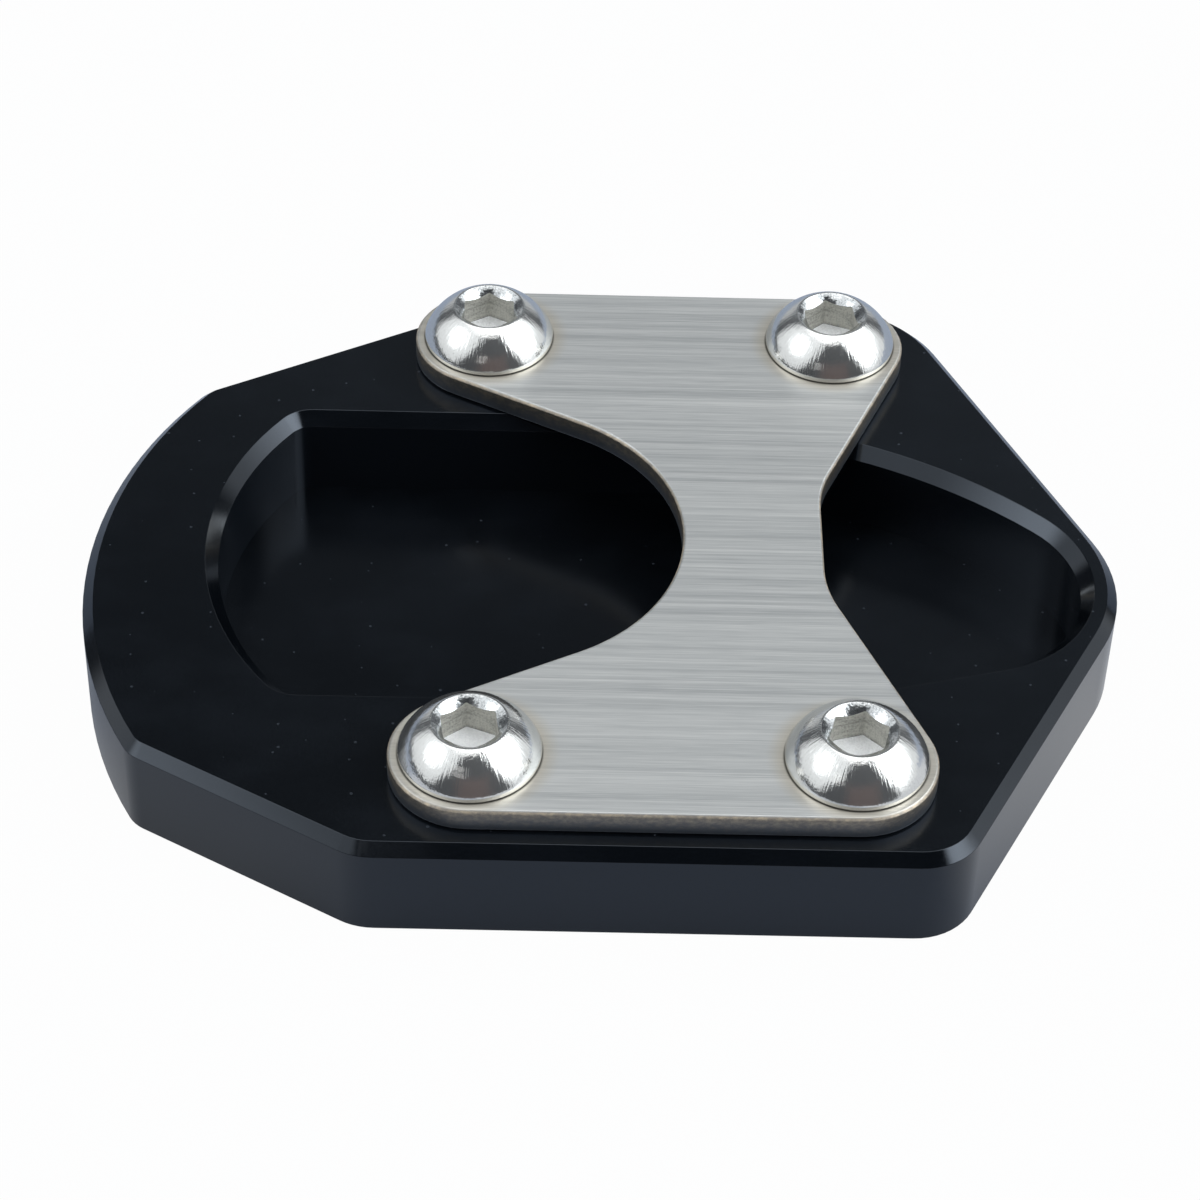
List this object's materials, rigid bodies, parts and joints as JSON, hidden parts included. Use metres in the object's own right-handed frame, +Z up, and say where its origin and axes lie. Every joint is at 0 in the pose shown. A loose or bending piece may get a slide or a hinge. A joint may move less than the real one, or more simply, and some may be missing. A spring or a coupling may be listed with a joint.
{
  "type": "side stand foot enlarger",
  "caption": "Flat pocketed plate that clamps round the foot of a motorcycle's side stand, with a waisted cover plate and button-head screws.",
  "frame": {"origin": "middle of the four screws, on the underside of the base plate", "axes": "+Z up out of the foot pocket, +X towards the base plate's pointed nose, -Y towards its front edge"},
  "size_m": [0.0796, 0.064, 0.0136],
  "materials": {
    "anodised_base": "satin black anodised",
    "brushed_plate": "brushed along the plate's short side",
    "polished_screws": "polished"
  },
  "bodies": {
    "root": {"base_plate": "anodised_base", "clamp_plate": "brushed_plate", "screw_front_left": "polished_screws", "screw_front_right": "polished_screws", "screw_rear_left": "polished_screws", "screw_rear_right": "polished_screws"}
  },
  "joints": []
}
